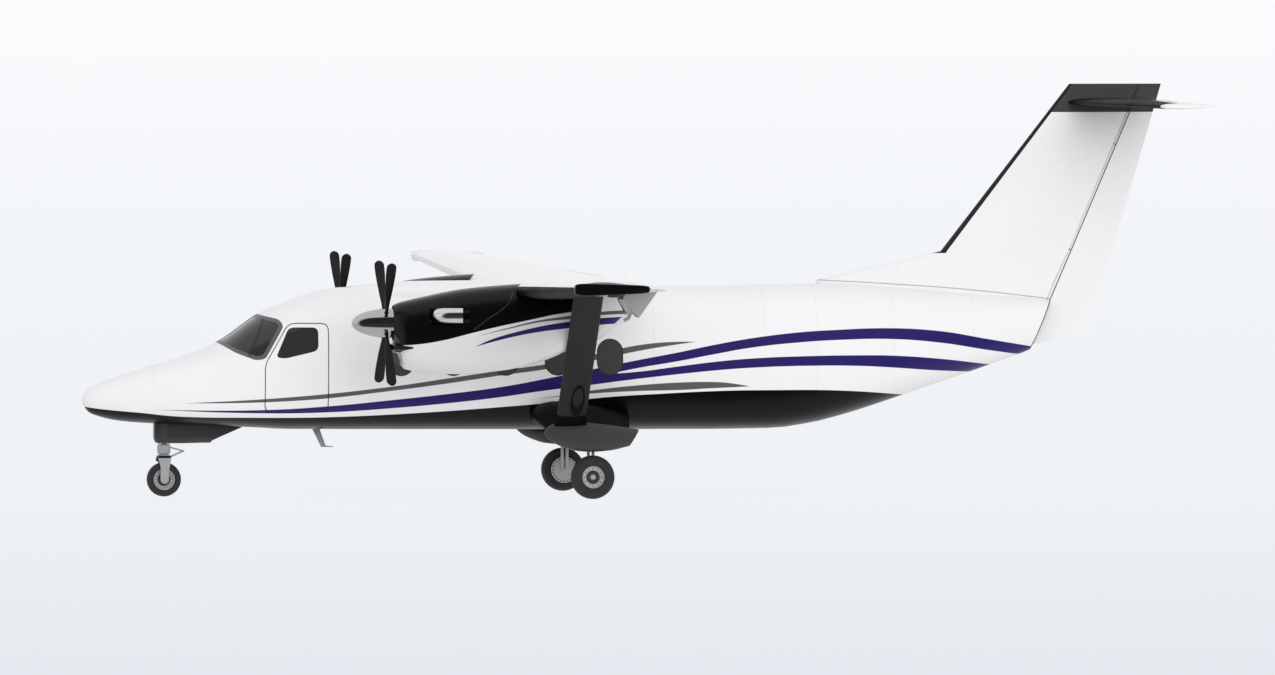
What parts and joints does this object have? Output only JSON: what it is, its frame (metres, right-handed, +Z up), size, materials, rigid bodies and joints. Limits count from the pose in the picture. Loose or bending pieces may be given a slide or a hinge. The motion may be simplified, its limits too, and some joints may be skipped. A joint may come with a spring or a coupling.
{
  "type": "high-wing twin turboprop airliner",
  "caption": "High-wing, strut-braced turboprop airliner on fixed tricycle gear, with turning propellers, steered nose wheel, flight deck doors, flaps and tail controls.",
  "frame": {"origin": "ground level under the middle of the aircraft's length and span, wheels resting on z = 0", "axes": "nose points to -X, left wing to -Y, right wing to +Y, +Z up"},
  "size_m": [16.8, 22.02, 6.23],
  "materials": {
    "white_paint": "gloss white airframe paint",
    "black_paint": "gloss black paint",
    "dark_grey_paint": "satin dark grey paint",
    "indigo_paint": "gloss indigo stripe paint",
    "stripe_grey_paint": "gloss mid grey stripe paint",
    "light_grey_enamel": "satin light grey enamel",
    "polished_metal": "polished metal",
    "wheel_alloy": "painted cast alloy",
    "tyre_rubber": "matt black rubber",
    "boot_rubber": "black rubber leading-edge boot",
    "tinted_glass": "dark tinted glazing",
    "seat_leather": "dark grey leather",
    "panel_plastic": "matt black moulded panel"
  },
  "bodies": {
    "airframe": {"nose_section": "white_paint", "cockpit_section": "white_paint", "cabin_section": "white_paint", "tail_section": "white_paint", "wing_fairing": "white_paint", "windshield": "tinted_glass", "instrument_panel": "panel_plastic", "crew_seat_left": "seat_leather", "crew_seat_right": "seat_leather", "wing_center": "white_paint", "wing_panel_left": "white_paint", "wing_panel_right": "white_paint", "nacelle_left": "white_paint", "nacelle_right": "white_paint", "engine_left": "polished_metal", "engine_right": "polished_metal", "wing_strut_left": "dark_grey_paint", "wing_strut_right": "dark_grey_paint", "stub_fairing_left": "black_paint", "stub_fairing_right": "black_paint", "gear_pod_left": "dark_grey_paint", "gear_pod_right": "dark_grey_paint", "main_leg_left": "light_grey_enamel", "main_leg_right": "light_grey_enamel", "nose_gear_fairing": "black_paint", "nose_oleo": "light_grey_enamel", "fin": "white_paint", "stabilizer": "white_paint"},
    "propeller_left": {"spinner_left": "polished_metal", "propeller_blades_left": "black_paint"},
    "propeller_right": {"spinner_right": "polished_metal", "propeller_blades_right": "black_paint"},
    "main_wheel_left": {"main_tyre_left": "tyre_rubber", "main_hub_left": "wheel_alloy"},
    "main_wheel_right": {"main_tyre_right": "tyre_rubber", "main_hub_right": "wheel_alloy"},
    "nose_steering": {"nose_fork": "light_grey_enamel", "nose_torque_link": "dark_grey_paint"},
    "nose_wheel": {"nose_tyre": "tyre_rubber", "nose_hub": "wheel_alloy"},
    "door_left": {"crew_door_left": "white_paint", "door_glass_left": "tinted_glass"},
    "door_right": {"crew_door_right": "white_paint", "door_glass_right": "tinted_glass"},
    "inner_flap_left": {"flap_inner_left": "white_paint", "nacelle_tail_left": "white_paint"},
    "inner_flap_right": {"flap_inner_right": "white_paint", "nacelle_tail_right": "white_paint"},
    "outer_flap_left": {"flap_outer_left": "white_paint"},
    "outer_flap_right": {"flap_outer_right": "white_paint"},
    "left_aileron": {"aileron_left": "white_paint"},
    "right_aileron": {"aileron_right": "white_paint"},
    "left_elevator": {"elevator_left": "white_paint"},
    "right_elevator": {"elevator_right": "white_paint"},
    "tail_rudder": {"rudder": "white_paint"}
  },
  "joints": [
    {"name": "propeller_left_spin", "type": "hinge", "parent": "airframe", "child": "propeller_left", "pos_m": [-4.12, -3.16, 2.7], "axis": [1, 0, 0], "continuous": true},
    {"name": "propeller_right_spin", "type": "hinge", "parent": "airframe", "child": "propeller_right", "pos_m": [-4.12, 3.16, 2.7], "axis": [1, 0, 0], "continuous": true},
    {"name": "main_wheel_left_spin", "type": "hinge", "parent": "airframe", "child": "main_wheel_left", "pos_m": [-0.838, -1.96, 0.33], "axis": [0, 1, 0], "continuous": true},
    {"name": "main_wheel_right_spin", "type": "hinge", "parent": "airframe", "child": "main_wheel_right", "pos_m": [-0.838, 1.96, 0.33], "axis": [0, 1, 0], "continuous": true},
    {"name": "nose_steer", "type": "hinge", "parent": "airframe", "child": "nose_steering", "pos_m": [-7.153, 0, 0.6847], "axis": [0, 0, 1], "range_deg": [-50, 50]},
    {"name": "nose_wheel_spin", "type": "hinge", "parent": "nose_steering", "child": "nose_wheel", "pos_m": [-7.153, 0, 0.26], "axis": [0, 1, 0], "continuous": true},
    {"name": "door_left_hinge", "type": "hinge", "parent": "airframe", "child": "door_left", "pos_m": [-5.73, -0.952, 1.66], "axis": [0, 0, -1], "range_deg": [0, 85]},
    {"name": "door_right_hinge", "type": "hinge", "parent": "airframe", "child": "door_right", "pos_m": [-5.73, 0.952, 1.66], "axis": [0, 0, 1], "range_deg": [0, 85]},
    {"name": "flap_inner_left_hinge", "type": "hinge", "parent": "airframe", "child": "inner_flap_left", "pos_m": [-0.53, -3.16, 2.71], "axis": [0, 1, 0], "range_deg": [0, 30]},
    {"name": "flap_inner_right_hinge", "type": "hinge", "parent": "airframe", "child": "inner_flap_right", "pos_m": [-0.53, 3.16, 2.71], "axis": [0, 1, 0], "range_deg": [0, 30]},
    {"name": "flap_outer_left_hinge", "type": "hinge", "parent": "airframe", "child": "outer_flap_left", "pos_m": [-0.72834, -5.49, 3.27594], "axis": [0.1107, 0.9936, -0.0235], "range_deg": [0, 30]},
    {"name": "flap_outer_right_hinge", "type": "hinge", "parent": "airframe", "child": "outer_flap_right", "pos_m": [-0.72834, 5.49, 3.27594], "axis": [-0.1107, 0.9936, 0.0235], "range_deg": [0, 30]},
    {"name": "aileron_left_hinge", "type": "hinge", "parent": "airframe", "child": "left_aileron", "pos_m": [-1.07219, -8.575, 3.34884], "axis": [0.1107, 0.9936, -0.0221], "range_deg": [-20, 20]},
    {"name": "aileron_right_hinge", "type": "hinge", "parent": "airframe", "child": "right_aileron", "pos_m": [-1.07219, 8.575, 3.34884], "axis": [-0.1107, 0.9936, 0.0221], "range_deg": [-20, 20]},
    {"name": "elevator_left_hinge", "type": "hinge", "parent": "airframe", "child": "left_elevator", "pos_m": [7.84, -2, 5.95], "axis": [0, 1, 0], "range_deg": [-25, 15]},
    {"name": "elevator_right_hinge", "type": "hinge", "parent": "airframe", "child": "right_elevator", "pos_m": [7.84, 2, 5.95], "axis": [0, 1, 0], "range_deg": [-25, 15]},
    {"name": "rudder_hinge", "type": "hinge", "parent": "airframe", "child": "tail_rudder", "pos_m": [6.93634, 0, 4.2], "axis": [0.3942, 0, 0.919], "range_deg": [-25, 25]}
  ],
  "couplings": [
    {"joint": "flap_inner_right_hinge", "follows": "flap_inner_left_hinge", "ratio": 1},
    {"joint": "flap_outer_left_hinge", "follows": "flap_inner_left_hinge", "ratio": 1},
    {"joint": "flap_outer_right_hinge", "follows": "flap_inner_left_hinge", "ratio": 1},
    {"joint": "aileron_right_hinge", "follows": "aileron_left_hinge", "ratio": -1},
    {"joint": "elevator_right_hinge", "follows": "elevator_left_hinge", "ratio": 1}
  ]
}
